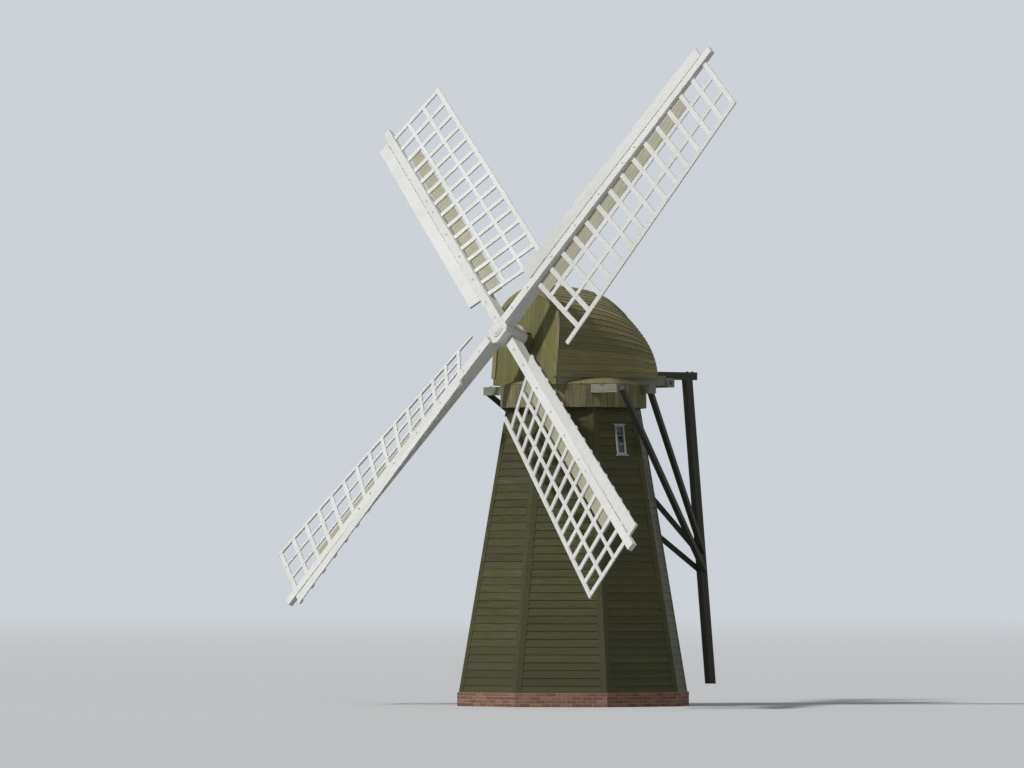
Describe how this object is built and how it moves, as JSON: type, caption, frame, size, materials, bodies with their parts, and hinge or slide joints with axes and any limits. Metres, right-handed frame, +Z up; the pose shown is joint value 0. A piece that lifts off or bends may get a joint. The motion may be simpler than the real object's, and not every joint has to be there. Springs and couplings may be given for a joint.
{
  "type": "windmill",
  "caption": "Small traditional smock windmill: battered octagonal boarded tower, boat-shaped cap that turns on a curb, braced tailpole, and open lattice sails with leading boards.",
  "frame": {"origin": "on the ground, at the tower's centre line", "axes": "+Z up; the sails face -Y and the tailpole lies towards +Y; +X is to the right of somebody in front of the mill who looks at the sails"},
  "size_m": [12.5762, 8.1013, 14.1253],
  "materials": {
    "tarred_boards": "tarred, rough",
    "cap_boards": "weathered paint, matte",
    "weathered_timber": "bare and weathered, rough",
    "frame_timber": "sawn, matte",
    "white_paint": "white paint, semi-matte",
    "grey_paint": "pale grey paint, matte",
    "door_boards": "dark paint, matte",
    "brick": "fired clay, rough",
    "stone": "worn stone, rough",
    "cast_iron": "painted dark, rough",
    "painted_iron": "white paint on iron, semi-matte",
    "tarred_timber": "tarred and weathered, rough",
    "gable_boards": "old yellow-green paint, matte",
    "window_glass": "clear, old"
  },
  "bodies": {
    "tower": {"brick_plinth": "brick", "ground_floor": "stone", "wall_front": "tarred_boards", "wall_front_right": "tarred_boards", "wall_right": "tarred_boards", "wall_back_right": "tarred_boards", "wall_back": "tarred_boards", "wall_back_left": "tarred_boards", "wall_left": "tarred_boards", "wall_front_left": "tarred_boards", "cant_posts": "tarred_boards", "upper_floor": "frame_timber", "window_frames": "grey_paint", "window_panes": "window_glass", "door_frame": "grey_paint", "door": "door_boards", "doorstep": "stone", "curb_ring": "frame_timber"},
    "cap": {"cap_circle": "frame_timber", "cross_beams": "weathered_timber", "sheers": "weathered_timber", "breast_beam": "frame_timber", "tail_beam": "frame_timber", "shaft_bearings": "cast_iron", "cap_side_right": "cap_boards", "cap_side_left": "cap_boards", "front_gable": "gable_boards", "rear_gable": "cap_boards", "apron": "cap_boards", "petticoat": "cap_boards", "rear_spreader": "weathered_timber", "tail_tree": "weathered_timber", "tailpole": "tarred_timber", "long_braces": "tarred_timber", "short_braces": "tarred_timber"},
    "sails": {"windshaft": "frame_timber", "poll_end": "painted_iron", "stock_front": "white_paint", "stock_back": "white_paint", "sail_lattice_1": "white_paint", "sail_lattice_2": "white_paint", "sail_lattice_3": "white_paint", "sail_lattice_4": "white_paint", "leading_boards": "white_paint", "inner_boards": "weathered_timber"}
  },
  "joints": [
    {"name": "cap_winding", "type": "hinge", "parent": "tower", "child": "cap", "pos_m": [0, 0, 6.64], "axis": [0, 0, 1], "continuous": true},
    {"name": "sail_rotation", "type": "hinge", "parent": "cap", "child": "sails", "pos_m": [0, -1.98, 8.1], "axis": [0, -0.9489, 0.3156], "continuous": true}
  ]
}
